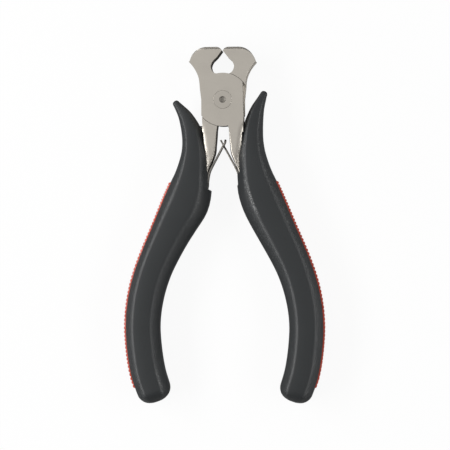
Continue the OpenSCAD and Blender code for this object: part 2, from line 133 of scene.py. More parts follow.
class GripSettings(bpy.types.PropertyGroup):
    bow: FloatProperty(
        name="Bow",
        description="Distance from the centre line to the middle of a grip, furthest out",
        default=0.0264, min=0.024, max=0.029, subtype="DISTANCE", unit="LENGTH")
    reach: FloatProperty(
        name="Reach", description="Distance from the pivot to the lower end of the grips",
        default=0.0972, min=0.09, max=0.105, subtype="DISTANCE", unit="LENGTH")
    width: FloatProperty(
        name="Width", description="Width of a grip along its lower half",
        default=0.0112, min=0.01, max=0.0124, subtype="DISTANCE", unit="LENGTH")
    height: FloatProperty(
        name="Height", description="Thickness of a grip over its round crown",
        default=0.0124, min=0.0116, max=0.014, subtype="DISTANCE", unit="LENGTH")
    flat: FloatProperty(
        name="Flat", description="How much the flat front and back take off the height",
        default=0.0008, min=0.0004, max=0.0016, subtype="DISTANCE", unit="LENGTH", precision=5)
    crown_share: FloatProperty(
        name="Crown",
        description="Share of the width that the flat crown takes between its shoulders",
        default=0.55, min=0.2, max=0.9, subtype="FACTOR")
    crown_shift: FloatProperty(
        name="Crown shift", description="How far the crown lies to the outer side in the bend",
        default=0.0005, min=0.0, max=0.0015, subtype="DISTANCE", unit="LENGTH", precision=5)
    flank_share: FloatProperty(
        name="Flank", description="Share of the height that the upright flank takes",
        default=0.42, min=0.1, max=0.8, subtype="FACTOR")
    spine_show: FloatProperty(
        name="Spine show", description="How far the cover stands back from the spine of the core",
        default=0.00012, min=0.0, max=0.0006, subtype="DISTANCE", unit="LENGTH", precision=5)
    guard_lean: FloatProperty(
        name="Left guard lean", description="How far the left guard leans outwards at its tip",
        default=0.0022, min=0.0, max=0.005, subtype="DISTANCE", unit="LENGTH", precision=5)
    guard_drop: FloatProperty(
        name="Left guard drop", description="How much shorter the left guard is than the right one",
        default=0.003, min=0.0, max=0.004, subtype="DISTANCE", unit="LENGTH", precision=5)
    swell: FloatProperty(
        name="Left swell", description="How much fuller the left cover is under its lip",
        default=0.001, min=0.0, max=0.002, subtype="DISTANCE", unit="LENGTH", precision=5)
    cover: FloatVectorProperty(
        name="Cover", description="Colour of the soft cover",
        default=(0.0153, 0.0170, 0.0180), size=3, min=0.0, max=1.0, subtype="COLOR")
    core: FloatVectorProperty(
        name="Core", description="Colour of the hard ribbed core",
        default=(0.43, 0.040, 0.012), size=3, min=0.0, max=1.0, subtype="COLOR")


class StageSettings(bpy.types.PropertyGroup):
    eye: FloatVectorProperty(
        name="Camera", description="Place of the camera",
        default=(0.0385, 0.009, 0.606), size=3, subtype="TRANSLATION", unit="LENGTH")
    aim: FloatVectorProperty(
        name="Aim", description="Point that the middle of the picture shows",
        default=(0.0003, 0.00015, 0.0058), size=3, subtype="TRANSLATION", unit="LENGTH")
    roll: FloatProperty(
        name="Roll", description="Turn of the camera about its own axis",
        default=math.radians(-0.35), subtype="ANGLE", unit="ROTATION")
    lens: FloatProperty(
        name="Lens", description="Focal length of the camera in millimetres",
        default=149.8, min=50.0, max=300.0)
    floor_light: FloatProperty(
        name="Floor light",
        description="How brightly the floor glows through, as a light table does",
        default=0.925, min=0.0, max=1.0, subtype="FACTOR")
    grid: IntProperty(
        name="Floor cuts", description="Cuts across the floor", default=2, min=1, max=8)


# The round shoulder of a tang comes this much nearer to the middle per length down, and falls
# away with the square of the distance past it, times this share per metre
TANG_SLANT = 0.151
TANG_FALL = 120.0
# Distances below the pivot between which that begins
TANG_FALL_FROM = (6.5 * MM, 9.5 * MM)
# Colour of the cover where it is rubbed bare, light enough to be a painted highlight on the
# shoulders too
BARE_AND_HIGHLIGHT = (0.15, 0.153, 0.152, 1.0)
# Share of the width at which the shoulders of the crown lie
SHOULDER = 0.60
# Length over which a stretch of bare specks and painted highlight fades in and out
WEAR_AND_HIGHLIGHT_FADE = 6 * MM

# Shader maths


class Field:
    """Output of a node; arithmetic on fields adds the nodes that work it out."""

    def __init__(self, tree, socket):
        self.tree = tree
        self.socket = socket

    def maths(self, operation, *values):
        node = self.tree.nodes.new("ShaderNodeMath")
        node.operation = operation
        for socket, value in zip(node.inputs, values):
            plug(self.tree, socket, value)
        return Field(self.tree, node.outputs[0])

    def __add__(self, other):
        return self.maths("ADD", self, other)

    def __radd__(self, other):
        return self.maths("ADD", other, self)

    def __sub__(self, other):
        return self.maths("SUBTRACT", self, other)

    def __rsub__(self, other):
        return self.maths("SUBTRACT", other, self)

    def __mul__(self, other):
        return self.maths("MULTIPLY", self, other)

    def __abs__(self):
        return self.maths("ABSOLUTE", self)


def plug(tree, socket, value):
    if isinstance(value, Field):
        tree.links.new(value.socket, socket)
    else:
        socket.default_value = value


class Finish:
    """A material with one Principled shader, written as expressions."""

    def __init__(self, name):
        self.material = bpy.data.materials.new(name)
        self.material.use_nodes = True
        self.tree = self.material.node_tree
        self.tree.nodes.clear()

    def node(self, kind, settings=None, values=None, output=0):
        node = self.tree.nodes.new(kind)
        for key, value in (settings or {}).items():
            setattr(node, key, value)
        for key, value in (values or {}).items():
            plug(self.tree, node.inputs[key], value)
        return Field(self.tree, node.outputs[output])

    def place(self, scale=(1.0, 1.0, 1.0), turn=0.0):
        """Place on the piece in metres, stretched and turned for a pattern."""
        point = self.node("ShaderNodeTexCoord", output="Object")
        return self.node("ShaderNodeMapping", None, {
            "Vector": point, "Scale": scale, "Rotation": (0.0, 0.0, turn)})

    def noise(self, point, scale, detail=2.0):
        return self.node("ShaderNodeTexNoise", None, {
            "Vector": point, "Scale": scale, "Detail": detail})

    def band(self, value, low, high):
        """0 below low, 1 above high and a soft step between."""
        return self.node("ShaderNodeMapRange", {"interpolation_type": "SMOOTHSTEP"}, {
            "Value": value, "From Min": low, "From Max": high})

    def output(self, field, name):
        """Another output of the node that a field comes from."""
        return Field(self.tree, field.socket.node.outputs[name])

    def mix(self, factor, first, second):
        return self.node("ShaderNodeMix", {"data_type": "RGBA"}, {
            0: factor, 6: first, 7: second}, output=2)

    def bump(self, height, distance, strength=1.0, normal=None):
        values = {"Height": height, "Distance": distance, "Strength": strength}
        if normal is not None:
            values["Normal"] = normal
        return self.node("ShaderNodeBump", None, values)

    def surface(self, **values):
        shader = self.tree.nodes.new("ShaderNodeBsdfPrincipled")
        for key, value in values.items():
            plug(self.tree, shader.inputs[key.replace("_", " ")], value)
        output = self.tree.nodes.new("ShaderNodeOutputMaterial")
        self.tree.links.new(shader.outputs[0], output.inputs[0])
        return self.material


def tint(colour, share):
    """A colour with every channel times a share, as a socket takes it."""
    return tuple(channel * share for channel in colour[:3]) + (1.0,)


def ground_steel(name, colour, roughness, grain_turn, tang=None):
    """Satin ground steel: soft cloudy patches, fine grinding grain and faint rubbed marks.
    With a tang, given by its side and how far out its round shoulder lies, its face falls
    away there."""
    finish = Finish(name)
    cloud = finish.noise(finish.place(), 140.0, 3.0)
    grain = finish.noise(finish.place((260.0, 6200.0, 6200.0), grain_turn), 1.0, 3.0)
    fleck = finish.band(finish.noise(finish.place(), 4200.0, 1.0), 0.68, 0.76)
    tone = finish.mix(cloud, tint(colour, 0.93), tint(colour, 1.06))
    rough = roughness - 0.05 + cloud * 0.06 + grain * 0.06 + fleck * 0.05
    normal = finish.bump(grain + cloud * 0.5, 0.000012, 0.5)
    if tang:
        side, shoulder = tang
        parts = finish.node("ShaderNodeSeparateXYZ", None, {"Vector": finish.place()})
        down = HINGE.y - finish.output(parts, "Y")
        past = finish.output(parts, "X") * side - shoulder + down * TANG_SLANT
        fall = past.maths("MAXIMUM", past, 0.0)
        here = finish.band(down, *TANG_FALL_FROM)
        normal = finish.bump(fall * fall * here * -TANG_FALL, 1.0, 1.0, normal)
    return finish.surface(
        Base_Color=finish.mix(fleck * 0.35, tone, tint(colour, 0.8)),
        Metallic=1.0,
        Roughness=rough,
        Normal=normal)


def painted_shade_and_light_steel(name, colour, roughness):
    """Rough mottled steel of a given colour; the head gives it darker and lighter copies of the
    ground steel's colour, as painted shade and painted light.
    """
    finish = Finish(name)
    scale = finish.noise(finish.place(), 900.0, 3.0)
    return finish.surface(
        Base_Color=finish.mix(scale, tint(colour, 0.9), tint(colour, 1.1)),
        Metallic=1.0,
        Roughness=roughness + scale * 0.1,
        Normal=finish.bump(scale, 0.00002, 0.5))


def soft_cover(name, colour, wear_and_highlight_stretches):
    """Soft moulded cover: matt skin with faint cloudiness, fine moulding grain and lighter specks
    on the shoulders of the crown, partly scuffs and partly painted highlight, with stretches of
    bright bare specks, partly rubbed bare and partly painted highlight, given by the share across,
    their depth and the distances along at which they begin and end."""
    finish = Finish(name)
    cloud = finish.noise(finish.place(), 160.0, 3.0)
    grain = finish.noise(finish.place(), 3400.0, 2.0)
    parts = finish.node("ShaderNodeSeparateXYZ", None, {
        "Vector": finish.node("ShaderNodeUVMap", {"uv_map": "form"})})
    across = finish.output(parts, "X")
    along = finish.output(parts, "Y")
    shoulder = 1.0 - finish.band(abs(abs(across) - SHOULDER), 0.02, 0.16)
    rubbed = finish.band(finish.noise(finish.place(), 900.0, 4.0), 0.50, 0.68)
    wear_and_highlight_mask = 0.0
    for share, depth, begin, end in wear_and_highlight_stretches:
        near = 1.0 - finish.band(abs(across - share), 0.01, 0.10)
        wear_and_highlight_mask = wear_and_highlight_mask + near * depth * finish.band(along, begin, begin + WEAR_AND_HIGHLIGHT_FADE) * (
            1.0 - finish.band(along, end - WEAR_AND_HIGHLIGHT_FADE, end))
    specks = finish.band(finish.noise(finish.place(), 2600.0, 3.0), 0.42, 0.72)
    # Lighter colour in rubbed specks on the shoulders of the crown: partly scuffs, partly a painted
    # highlight along the shoulder lines.
    scuff_and_highlight = shoulder * rubbed * 0.5
    # Bright specks in the given stretches: partly rubbed bare, partly a painted highlight on the
    # shoulders.
    bare_and_highlight = wear_and_highlight_mask * specks
    tone = finish.mix(cloud, tint(colour, 0.93), tint(colour, 1.07))
    tone = finish.mix(scuff_and_highlight, tone, tint(colour, 2.1))
    return finish.surface(
        Base_Color=finish.mix(bare_and_highlight, tone, BARE_AND_HIGHLIGHT),
        Roughness=0.42 + cloud * 0.06 + scuff_and_highlight * 0.28 + bare_and_highlight * 0.1,
        Specular_IOR_Level=0.32,
        Sheen_Weight=0.06,
        Sheen_Roughness=0.5,
        Normal=finish.bump(grain + scuff_and_highlight * 2.8 + bare_and_highlight * 2.0, 0.00002, 0.6))


def core_plastic(name, colour):
    """Hard glossy moulding of the core and its ribs."""
    finish = Finish(name)
    cloud = finish.noise(finish.place(), 300.0, 2.0)
    grain = finish.noise(finish.place(), 3000.0, 2.0)
    return finish.surface(
        Base_Color=finish.mix(cloud, tint(colour, 0.9), tint(colour, 1.08)),
        Roughness=0.34 + grain * 0.1,
        Normal=finish.bump(grain, 0.000015, 0.5))


# Modelling


def only(obj):
    bpy.ops.object.select_all(action="DESELECT")
    obj.select_set(True)
    bpy.context.view_layer.objects.active = obj


def active(name):
    obj = bpy.context.active_object
    obj.name = name
    obj.data.name = name
    return obj


def edit_mode():
    bpy.ops.object.mode_set(mode="EDIT")


def object_mode():
    bpy.ops.object.mode_set(mode="OBJECT")


def pick_faces(obj, test):
    """Selects the faces of a mesh in edit mode whose middle and normal pass the test."""
    bpy.ops.mesh.select_mode(type="FACE")
    bpy.ops.mesh.select_all(action="DESELECT")
    object_mode()
    for face in obj.data.polygons:
        face.select = test(face.center, face.normal)
    edit_mode()


def ease(obj, rows, steps, chosen, move):
    """Moves points of a straight form that are chosen by their shares of the width and the
    height, a little more at each step of (low, high) along it."""
    only(obj)
    edit_mode()
    bpy.ops.mesh.select_mode(type="VERT")
    for low, high in steps:
        bpy.ops.mesh.select_all(action="DESELECT")
        object_mode()
        for vertex in obj.data.vertices:
            x, y, z = vertex.co
            distance, width, height = min(rows, key=lambda row: abs(row[0] - y))
            vertex.select = low * MM < y < high * MM and chosen(2 * x / width, 2 * z / height)
        edit_mode()
        bpy.ops.transform.translate(value=Vector(move) / len(steps), orient_type="GLOBAL")
    object_mode()


def apply_modifier(obj, modifier):
    only(obj)
    bpy.ops.object.modifier_apply(modifier=modifier.name)


def tidy_mesh(obj, smooth_angle):
    only(obj)
    edit_mode()
    bpy.ops.mesh.select_all(action="SELECT")
    bpy.ops.mesh.remove_doubles(threshold=0.0000005)
    bpy.ops.mesh.normals_make_consistent(inside=False)
    object_mode()
    bpy.ops.object.shade_smooth_by_angle(angle=smooth_angle)


def add_box(name, low, high):
    """A box between two corners, its size in the mesh."""
    bpy.ops.object.select_all(action="DESELECT")
    bpy.ops.mesh.primitive_cube_add(size=1.0)
    obj = active(name)
    edit_mode()
    bpy.ops.mesh.select_all(action="SELECT")
    bpy.ops.transform.resize(value=[b - a for a, b in zip(low, high)], center_override=(0, 0, 0))
    bpy.ops.transform.translate(value=[(a + b) / 2 for a, b in zip(low, high)])
    object_mode()
    return obj


def add_prism(name, outline, half):
    """An upright block on a flat outline, from half below the pivot's plane to half above."""
    bpy.ops.object.select_all(action="DESELECT")
    bpy.ops.mesh.primitive_plane_add(size=MM)
    obj = active(name)
    edit_mode()
    bpy.ops.mesh.select_mode(type="VERT")
    bpy.ops.mesh.select_all(action="SELECT")
    bpy.ops.mesh.merge(type="CENTER")
    bpy.ops.transform.translate(value=flat_point(*outline[0]) - Vector((0, 0, half)))
    for here, there in zip(outline, outline[1:]):
        bpy.ops.mesh.extrude_vertices_move(
            TRANSFORM_OT_translate={"value": (there[0] - here[0], there[1] - here[1], 0)})
    bpy.ops.mesh.select_all(action="SELECT")
    bpy.ops.mesh.edge_face_add()
    bpy.ops.mesh.extrude_region_move(TRANSFORM_OT_translate={"value": (0, 0, 2 * half)})
    bpy.ops.mesh.select_all(action="SELECT")
    bpy.ops.mesh.normals_make_consistent(inside=False)
    object_mode()
    return obj


def combine(obj, other, operation):
    """Adds the other solid to the piece or takes it out, and deletes it."""
    modifier = obj.modifiers.new("Combine", "BOOLEAN")
    modifier.operation = operation
    modifier.solver = "EXACT"
    modifier.object = other
    apply_modifier(obj, modifier)
    bpy.data.objects.remove(other, do_unlink=True)


def bend_along(obj, points):
    """Bends a piece modelled straight along Y so that Y follows the line of points."""
    line = bpy.data.curves.new(obj.name + "_line", "CURVE")
    line.dimensions = "3D"
    line.twist_mode = "Z_UP"
    spline = line.splines.new("POLY")
    spline.points.add(len(points) - 1)
    for knot, point in zip(spline.points, points):
        knot.co = (*point, 1.0)
    guide = bpy.data.objects.new(obj.name + "_guide", line)
    bpy.context.scene.collection.objects.link(guide)
    modifier = obj.modifiers.new("Bend", "CURVE")
    modifier.object = guide
    modifier.deform_axis = "POS_X"
    obj.data.transform(Matrix.Rotation(-math.pi / 2, 4, "Z"))
    bpy.context.view_layer.update()
    apply_modifier(obj, modifier)
    bpy.data.objects.remove(guide, do_unlink=True)
    bpy.data.curves.remove(line)


def smooth_line(knots, steps):
    """Points of a Catmull-Rom line through the knots, of any number of numbers each."""
    last = len(knots) - 1
    points = []
    for i in range(last):
        a, b, c, d = (knots[max(i - 1, 0)], knots[i], knots[i + 1], knots[min(i + 2, last)])
        for k in range(steps):
            t = k / steps
            points.append(tuple(
                0.5 * (2 * q + (r - p) * t + (2 * p - 5 * q + 4 * r - s) * t * t
                       + (3 * q - p - 3 * r + s) * t ** 3)
                for p, q, r, s in zip(a, b, c, d)))
    return points + [tuple(knots[last])]


def flat_point(x, y):
    """A point of the pivot's own plane, in the frame."""
    return Vector((x, HINGE.y + y, HINGE.z))


# Grips

# Middle line of a grip from its guard down: x as a share of the bow, y as a share of the
# reach, width as a share of the grip's width, height as a share of its height
GRIP_SHARES = (
    (0.492, 0.017, 0.20, 0.24), (0.455, -0.006, 0.28, 0.34), (0.410, -0.036, 0.40, 0.46),
    (0.366, -0.085, 0.55, 0.63), (0.345, -0.134, 0.66, 0.80), (0.341, -0.186, 0.83, 0.93),
    (0.368, -0.237, 0.98, 1.00), (0.413, -0.289, 1.16, 1.00), (0.481, -0.340, 1.22, 1.00),
    (0.568, -0.391, 1.19, 1.00), (0.659, -0.442, 1.13, 1.00), (0.754, -0.494, 1.08, 1.00),
    (0.841, -0.546, 1.04, 1.00), (0.909, -0.597, 1.025, 0.99), (0.958, -0.648, 1.015, 0.98),
    (0.989, -0.700, 1.005, 0.98), (1.000, -0.752, 1.00, 0.98), (0.990, -0.804, 1.00, 0.98),
    (0.968, -0.856, 1.00, 0.98), (0.932, -0.907, 0.995, 0.98), (0.876, -0.953, 0.97, 0.97))
GUARD_FROM = -0.225
GUARD_SPAN = 0.25
SWELL_AT = -0.335
SWELL_HALF = 0.06
SPINE_FROM = -0.943
SPINE_TO = -0.287
# Hollow of a cover over the foot of the spring, in millimetres from the pivot
LEFT_HOLLOW = ((0.0, -16.15), (4.5, -18.4), (4.95, -22.0), (4.97, -27.5), (5.2, -28.6),
               (4.0, -29.2), (0.0, -29.2))
RIGHT_HOLLOW = ((0.0, -16.15), (4.45, -18.4), (4.72, -22.0), (4.7, -23.4), (4.5, -24.2),
                (4.69, -27.1), (4.3, -27.8), (0.0, -28.0))
# Stretches of a cover, in millimetres from its lower end, in which its form leaves the plain
# one step by step: the crown in the bend and the outer flank along the spine
CROWN_STEPS = tuple((28 + 1.7 * step, 92 - 0.6 * step) for step in range(18))
SPINE_STEPS = tuple((2 + 2 * step, 80 - 3 * step) for step in range(4))
# Stub of the left cover beside the root of its tang, in millimetres from the pivot
STUB_LOW = (-7.6, -9.9)
STUB_HIGH = (-6.55, -8.35)
STUB_HALF = 1.6 * MM
# Stretches of a cover with bright bare specks, partly rubbing and partly a painted highlight on the
# shoulders: share across, depth, then distances from its lower end
LEFT_WEAR_AND_HIGHLIGHT = ((0.60, 0.8, 0.0, 0.014), (0.60, 0.25, 0.062, 0.080))
RIGHT_WEAR_AND_HIGHLIGHT = ((-0.62, 1.0, 0.070, 0.092), (-0.50, 1.8, 0.062, 0.076))
# Clearance round the foot of a spring in its cover
SEAT = 0.05 * MM
# Rounding of the corners of a grip's section, as a share of its half width
CORNER_ROUND = 0.13
# Lengths of a grip's round lower end and of its guard's tip, as shares of its width
LOW_END = 0.4
HIGH_END = 0.1
# Depth of the channel that takes the spine of the core, and half the share of the height in
# which its faces have their middles
CHANNEL_DEPTH = 0.6 * MM
CHANNEL_SHARE = 0.1
# Share of the half width from which a point of the section belongs to the flank
FLANK_FROM = 0.84
# Half height of the block that cuts the hollow, past the front and back of the grip
HOLLOW_HALF = 12 * MM
# Steepest angle between faces that are still shaded as one
COVER_SMOOTH = math.radians(38)
CORE_EDGE = 0.06 * MM


def grip_stations(grips, side):
    """Middle line of a grip with its width and height, from its lower end up, in metres."""
    lean, drop, swell = ((0.0, 0.0, 0.0) if side > 0
                         else (grips.guard_lean, grips.guard_drop, grips.swell))
    knots = []
    for x_share, y_share, w_share, h_share in GRIP_SHARES:
        rise = max(0.0, (y_share - GUARD_FROM) / GUARD_SPAN)
        more = swell * math.exp(-((y_share - SWELL_AT) / SWELL_HALF) ** 2)
        knots.append((
            x_share * grips.bow + lean * rise ** 1.6 - more / 2,
            y_share * grips.reach - drop * rise ** 2,
            w_share * grips.width + more, h_share * grips.height))
    return [(side * x, y, w, h) for x, y, w, h in reversed(smooth_line(knots, 3))]


def dome(station, beyond, length, steps):
    """Stations of a round end that goes on from a station, away from the one beyond it."""
    start, other = Vector(station[:2]), Vector(beyond[:2])
    way = (start - other).normalized() * length
    ends = []
    for k in range(1, steps + 1):
        angle = math.pi / 2 * k / (steps + 0.25)
        middle = start + way * math.sin(angle)
        share = math.cos(angle) ** 0.8
        ends.append((middle.x, middle.y, station[2] * share, station[3] * share))
    return ends


def distances(stations):
    """Distance of each station along the line from the first one."""
    total, sums = 0.0, [0.0]
    for here, there in zip(stations, stations[1:]):
        total += (Vector(there[:2]) - Vector(here[:2])).length
        sums.append(total)
    return sums


def straight_form(name, rows, crown, flank):
    """Round-shouldered bar along Y through rows of (distance, width, height)."""
    bpy.ops.object.select_all(action="DESELECT")
    bpy.ops.mesh.primitive_plane_add(size=2.0)
    obj = active(name)
    edit_mode()
    bpy.ops.mesh.select_all(action="SELECT")
    bpy.ops.transform.rotate(value=math.pi / 2, orient_axis="X", center_override=(0, 0, 0))
    squash = (1.0 - crown) / (1.0 - flank)
    bpy.ops.transform.resize(value=(1, 1, squash), center_override=(0, 0, 0))
    bpy.ops.mesh.bevel(offset=1.0 - crown, offset_type="OFFSET", segments=1, affect="VERTICES")
    bpy.ops.mesh.bevel(
        offset=CORNER_ROUND, offset_type="OFFSET", segments=3, affect="VERTICES")
    distance, width, height = rows[0]
    bpy.ops.transform.resize(value=(width / 2, 1, height / 2 / squash), center_override=(0, 0, 0))
    bpy.ops.transform.translate(value=(0, distance, 0))
    for last, here in zip(rows, rows[1:]):
        bpy.ops.mesh.extrude_region_move(
            TRANSFORM_OT_translate={"value": (0, here[0] - last[0], 0)})
        bpy.ops.transform.resize(
            value=(here[1] / last[1], 1, here[2] / last[2]), center_override=(0, here[0], 0))
    bpy.ops.mesh.select_all(action="SELECT")
    bpy.ops.mesh.normals_make_consistent(inside=False)
    object_mode()
    return obj


def mark_form(obj, rows):
    """Keeps each point's share across and distance along the straight form as a UV map."""
    layer = obj.data.uv_layers.new(name="form")
    for loop in obj.data.loops:
        point = obj.data.vertices[loop.vertex_index].co
        nearest = min(rows, key=lambda row: abs(row[0] - point.y))
        layer.data[loop.index].uv = (point.x / (nearest[1] / 2), point.y)


class NIPPERS_OT_grip_covers(bpy.types.Operator):
    """Model the two soft covers and lay them along their grips"""
    bl_idname = "nippers.grip_covers"
    bl_label = "Grip Covers"

    def execute(self, context):
        colour = context.scene.nippers_grips.cover
        for name, side, body, wear_and_highlight_stretches in (
                ("left_grip_cover", -1, "rear_half", LEFT_WEAR_AND_HIGHLIGHT),
                ("right_grip_cover", 1, "front_half", RIGHT_WEAR_AND_HIGHLIGHT)):
            piece = self.cover(context, name + "_moulded", side)
            piece.data.materials.append(soft_cover(name + "_skin", colour, wear_and_highlight_stretches))
            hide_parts(name)
            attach(piece, body)
        return {"FINISHED"}

    def cover(self, context, name, side):
        grips = context.scene.nippers_grips
        middle = grip_stations(grips, side)
        low_end = dome(middle[0], middle[1], LOW_END * grips.width, 8)
        high_end = dome(middle[-1], middle[-2], HIGH_END * grips.width, 4)
        stations = low_end[::-1] + middle + high_end
        most = grips.height - grips.flat
        rows = [(s, w, min(h, most)) for s, (x, y, w, h) in zip(distances(stations), stations)]
        obj = straight_form(name, rows, grips.crown_share, grips.flank_share)
        self.channel(obj, grips, side, stations, rows)
        mark_form(obj, rows)
        self.model_flanks(obj, grips, side, rows)
        bend_along(obj, [flat_point(x, y) for x, y, w, h in stations])
        if side < 0:
            low, high = (flat_point(x * MM, y * MM) for x, y in (STUB_LOW, STUB_HIGH))
            depth = Vector((0, 0, STUB_HALF))
            combine(obj, add_box("stub", low - depth, high + depth), "UNION")
        for cutter in self.cutters(context, side):
            combine(obj, cutter, "DIFFERENCE")
        tidy_mesh(obj, COVER_SMOOTH)
        return obj

    def channel(self, obj, grips, side, stations, rows):
        """Sinks the outer flank where the spine of the core lies in it."""
        ends = [row[0] for row, station in zip(rows, stations)
                if SPINE_FROM * grips.reach < station[1] < SPINE_TO * grips.reach]
        only(obj)
        edit_mode()
        pick_faces(obj, lambda middle, normal: (
            normal.x * side > 0.99 and ends[0] < middle.y < ends[-1]
            and abs(middle.z) < CHANNEL_SHARE * grips.height))
        bpy.ops.mesh.extrude_region_move(
            TRANSFORM_OT_translate={"value": (-side * CHANNEL_DEPTH, 0, 0)})
        object_mode()

    def model_flanks(self, obj, grips, side, rows):
        """Lays the crown towards the outer side in the bend of the grip and sets the outer
        flank back from the spine."""
        ease(obj, rows, CROWN_STEPS, lambda across, up: abs(across) < FLANK_FROM,
             (side * grips.crown_shift, 0, 0))
        ease(obj, rows, SPINE_STEPS, lambda across, up: across * side > FLANK_FROM,
             (-side * grips.spine_show, 0, 0))

    def cutters(self, context, side):
        """The hollow on the inner side where the foot of the spring lies, and its slot."""
        springs = context.scene.nippers_springs
        outline = LEFT_HOLLOW if side < 0 else RIGHT_HOLLOW
        hollow = [(side * x * MM, y * MM) for x, y in outline]
        back = springs.strip_thickness / 2 + SEAT
        turn = math.radians(FOOT_ANGLE)
        across = Vector((math.cos(turn), math.sin(turn))) * back
        top, low = along(FOOT_ANGLE, 0.0), along(FOOT_ANGLE, -springs.foot_length - SEAT)
        slot = [(side * point.x, point.y)
                for point in (top - across, top + across, low + across, low - across)]
        half = springs.strip_width / 2 + SEAT
        return add_prism("hollow", hollow, HOLLOW_HALF), add_prism("slot", slot, half)


class NIPPERS_OT_grip_cores(bpy.types.Operator):
    """Finish the hard cores with their ribbed spines"""
    bl_idname = "nippers.grip_cores"
    bl_label = "Grip Cores"

    def execute(self, context):
        material = core_plastic("Core", context.scene.nippers_grips.core)
        for name in ("left_grip_core", "right_grip_core"):
            finish_solid(frame["nodes"][name], (material,), CORE_EDGE, 20)
        return {"FINISHED"}


# Springs

BEND = Vector((4.607 * MM, -23.205 * MM))
LEAF_ANGLE = 28.0
FOOT_ANGLE = 8.2
# Length over which the bend is rounded, to each side of it, up the leaf and down the foot
BEND_ROUND = 1.2 * MM
# How much wider the T head is than the tongue, which is also what the tip of the other leaf
# is narrower than the strip, and the length of a taper in width
TEE_MORE = 1.6 * MM
TAPER = 0.8 * MM
# Height of a row of faces along a strip, and how far the tip of the left leaf hooks over
STRIP_STEP = 0.5 * MM
HOOK = 0.9 * MM
STRIP_SMOOTH = math.radians(30)
STRIP_EDGE = 0.05 * MM


def along(angle, distance):
    """A step from the bend of a spring, at an angle from straight up towards the middle."""
    turn = math.radians(angle)
    return BEND + Vector((-math.sin(turn), math.cos(turn))) * distance


class NIPPERS_OT_springs(bpy.types.Operator):
    """Model the two leaf springs, each one strip from its foot to its tip"""
    bl_idname = "nippers.springs"
    bl_label = "Leaf Springs"

    def execute(self, context):
        springs = context.scene.nippers_springs
        material = ground_steel("Spring steel", springs.steel, 0.34, 0.0)
        foot = springs.foot_length
        full = springs.strip_width
        tongue = springs.tongue_width
        crossing = foot + BEND.x / math.sin(math.radians(LEAF_ANGLE))
        waist = crossing - springs.tongue_below
        tee = crossing + springs.tongue_above
        tip = tee + springs.tee
        rows = [(0.0, full), (foot, full), (waist - TAPER, full), (waist, tongue + 1.2 * MM),
                (waist + 0.6 * MM, tongue), (tee, tongue), (tee, tongue + TEE_MORE),
                (tip, tongue + TEE_MORE)]
        right = self.strip("right_spring", springs, rows, 1)
        tip = crossing + springs.slot_above + springs.slot_land
        rows = [(0.0, full), (foot, full), (tip - TAPER, full), (tip, full - TEE_MORE)]
        left = self.strip("left_spring", springs, rows, -1)
        for piece, side, nodes, bodies in (
                (left, -1, ("left_spring_foot", "left_spring_leaf"), ("rear_half", "left_leaf")),
                (right, 1, ("right_spring_foot", "right_spring_leaf"),
                 ("front_half", "right_leaf"))):
            piece.data.materials.append(material)
            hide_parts(*nodes)
            low = along(FOOT_ANGLE, -0.5 * MM)
            high = along(LEAF_ANGLE, BEND_ROUND)
            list(bodies)
            flat_point(side * low.x, low.y)
            flat_point(side * high.x, high.y)
            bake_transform(piece)
        return {"FINISHED"}

    def strip(self, name, springs, rows, side):
        """A strip cut to rows of (distance, width), bent at its foot; the left one hooks over at
        its tip."""
        thick = springs.strip_thickness
        bpy.ops.object.select_all(action="DESELECT")
        bpy.ops.mesh.primitive_plane_add(size=1.0)
        obj = active(name)
        edit_mode()
        bpy.ops.mesh.select_all(action="SELECT")
        bpy.ops.transform.rotate(value=math.pi / 2, orient_axis="X", center_override=(0, 0, 0))
        bpy.ops.transform.resize(value=(thick, 1, rows[0][1]), center_override=(0, 0, 0))
        reach, width = rows[0]
        for end, new_width in rows[1:]:
            steps = max(1, round((end - reach) / STRIP_STEP))
            last_width = width
            for k in range(1, steps + 1):
                here = width + (new_width - width) * k / steps
                bpy.ops.mesh.extrude_region_move(
                    TRANSFORM_OT_translate={"value": (0, (end - reach) / steps, 0)})
                bpy.ops.transform.resize(value=(1, 1, here / last_width))
                last_width = here
            reach, width = end, new_width
        object_mode()
        tidy_mesh(obj, STRIP_SMOOTH)
        if side < 0:
            end = rows[-1][0] - springs.slot_land
            length = springs.slot_above + springs.slot_below
            slot = add_box("slot", (-MM, end - length, -1.2 * MM), (MM, end, 1.2 * MM))
            combine(obj, slot, "DIFFERENCE")
        hook = HOOK if side < 0 else 0.0
        line = [along(FOOT_ANGLE, -springs.foot_length), along(FOOT_ANGLE, -6 * MM),
                along(FOOT_ANGLE, -BEND_ROUND), along(LEAF_ANGLE, BEND_ROUND),
                along(LEAF_ANGLE, 6 * MM), along(LEAF_ANGLE, 9.5 * MM),
                along(LEAF_ANGLE, 11 * MM), along(LEAF_ANGLE, 13 * MM) + Vector((hook, 0.0))]
        bend_along(obj, [flat_point(side * x, y) for x, y in smooth_line(line, 6)])
        tidy_mesh(obj, STRIP_SMOOTH)
        bevel = obj.modifiers.new("Edges", "BEVEL")
        bevel.width = STRIP_EDGE
        bevel.segments = 2
        bevel.limit_method = "ANGLE"
        apply_modifier(obj, bevel)
        return obj


# Head

# Where the thick root of a tang ends, its step down to the tang, and how far out the centre
# mark of the rivet goes
ROOT_END = HINGE.y - 10.37 * MM
ROOT_STEP = 0.043 * MM
MARK_RADIUS = 1.2 * MM
# Height over the middle from which a point belongs to the front or back of a root
ROOT_FACE = 3.98 * MM
# Broken edges of the rivets
RIVET_EDGE = 0.04 * MM
# Sideways and upright parts of a normal from which a face is an outer flank, or ground
OUTER_FROM = 0.4
GROUND_FROM = 0.5
ROUND_FROM = 0.9


